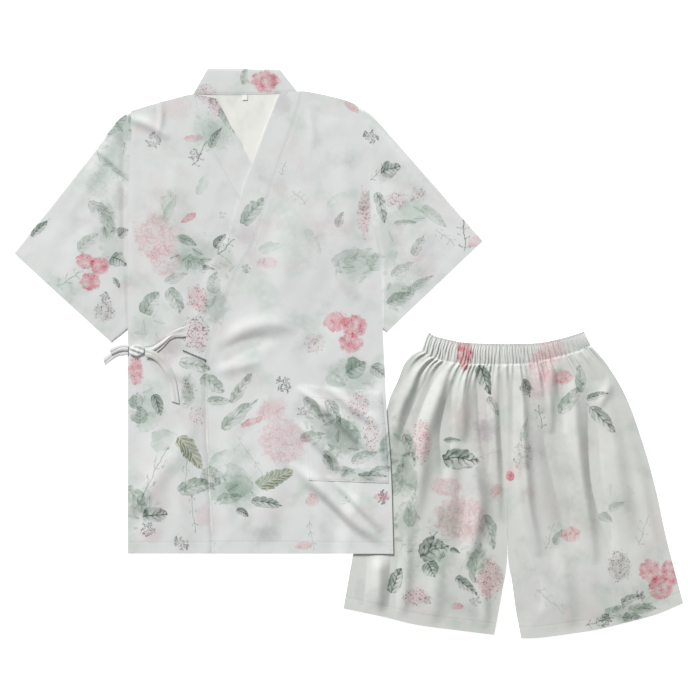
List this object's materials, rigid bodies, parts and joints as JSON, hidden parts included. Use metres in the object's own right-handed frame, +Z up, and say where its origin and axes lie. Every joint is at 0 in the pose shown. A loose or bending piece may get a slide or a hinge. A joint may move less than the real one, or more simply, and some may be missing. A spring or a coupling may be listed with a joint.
{
  "type": "kimono set",
  "caption": "Kimono-style wrap top with a side tie and patch pocket, and elastic-waist shorts, laid flat with the top's corner over one leg.",
  "frame": {"origin": "middle of the laid set's outline, on the surface that it lies on", "axes": "+X along the longer side, to the right as the set is seen from above with the neck at the top; +Y towards the neck; +Z up off the surface"},
  "size_m": [1.1374, 0.9684, 0.0121],
  "materials": {
    "cotton_print": "plain-woven cotton, matt, pale mint with a printed floral pattern",
    "tag_tape": "blank white woven tape, slight sheen"
  },
  "bodies": {
    "root": {"top_back": "cotton_print", "top_front_right": "cotton_print", "top_front_left": "cotton_print", "sleeve_right": "cotton_print", "sleeve_left": "cotton_print", "collar_back": "cotton_print", "collar_right": "cotton_print", "collar_left": "cotton_print", "pocket": "cotton_print", "tie_strip": "cotton_print", "tie_knot": "cotton_print", "tie_loop": "cotton_print", "tie_end_side": "cotton_print", "tie_end_down": "cotton_print", "neck_tag": "tag_tape", "shorts_front_right": "cotton_print", "shorts_front_left": "cotton_print", "shorts_back_right": "cotton_print", "shorts_back_left": "cotton_print", "waist_front": "cotton_print", "waist_back": "cotton_print"}
  },
  "joints": []
}
